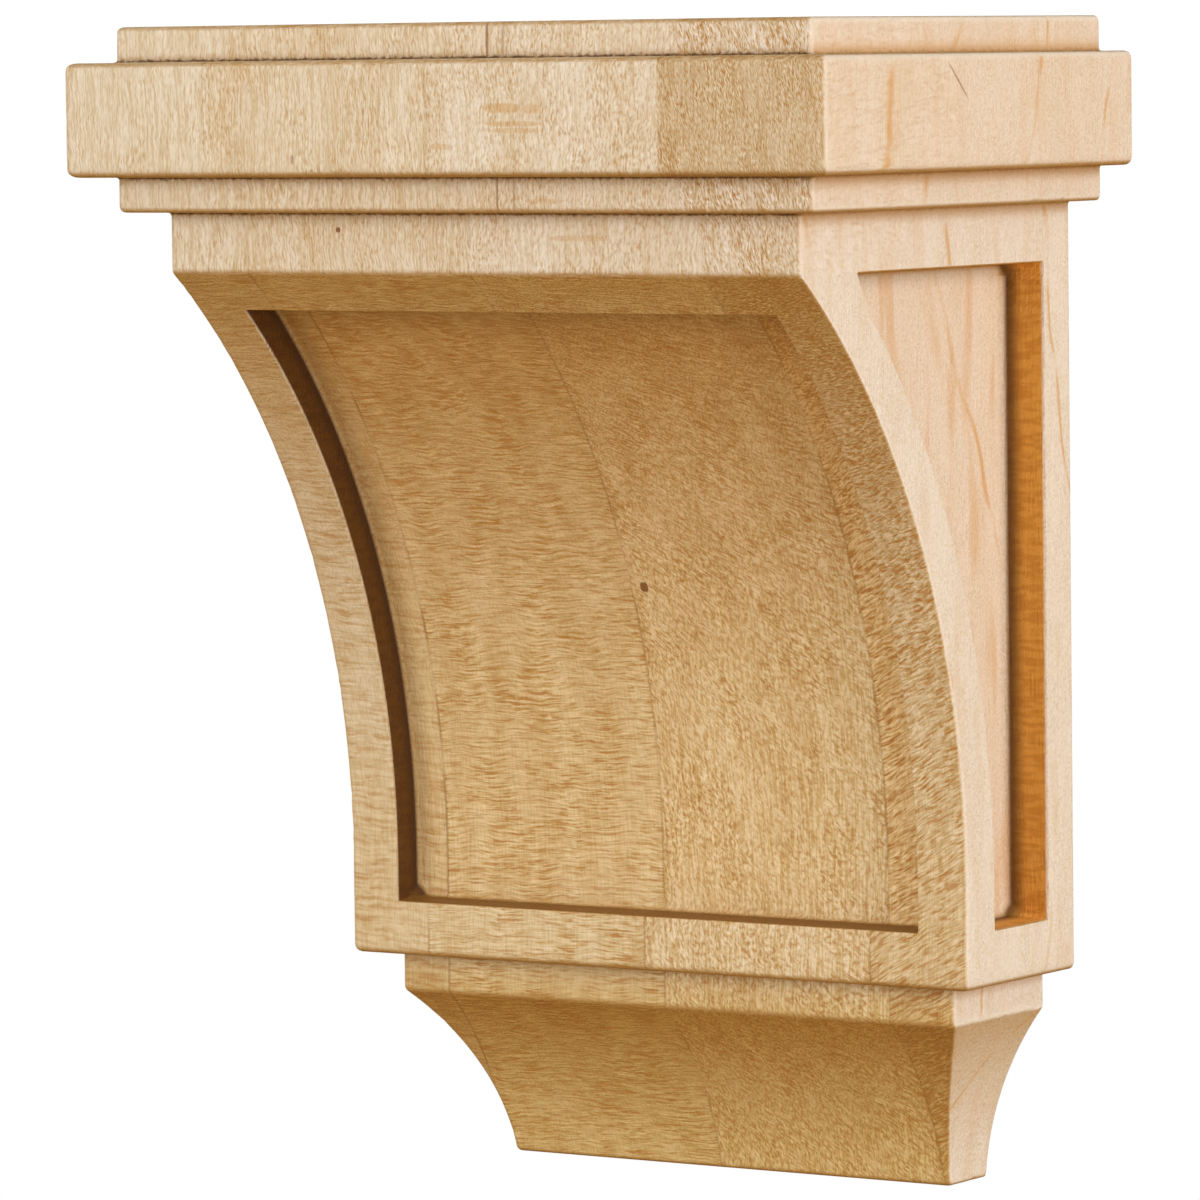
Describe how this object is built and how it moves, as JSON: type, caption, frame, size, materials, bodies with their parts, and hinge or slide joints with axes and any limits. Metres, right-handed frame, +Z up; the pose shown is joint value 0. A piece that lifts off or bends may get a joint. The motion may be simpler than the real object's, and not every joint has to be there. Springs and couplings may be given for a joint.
{
  "type": "wooden corbel bracket",
  "caption": "Maple wall corbel: stepped square cap, hollow-curved body with sunk panels on its front and sides, and a coved foot. Carries a shelf, mantel or overhang.",
  "frame": {"origin": "middle of the flat back face, at half the width and half the height, on the wall plane", "axes": "+X to the right of a viewer who faces the front, +Y out of the back into the wall, +Z up"},
  "size_m": [0.1524, 0.1016, 0.2032],
  "materials": {
    "maple": "sanded, unfinished"
  },
  "bodies": {
    "root": {"corbel": "maple"}
  },
  "joints": []
}
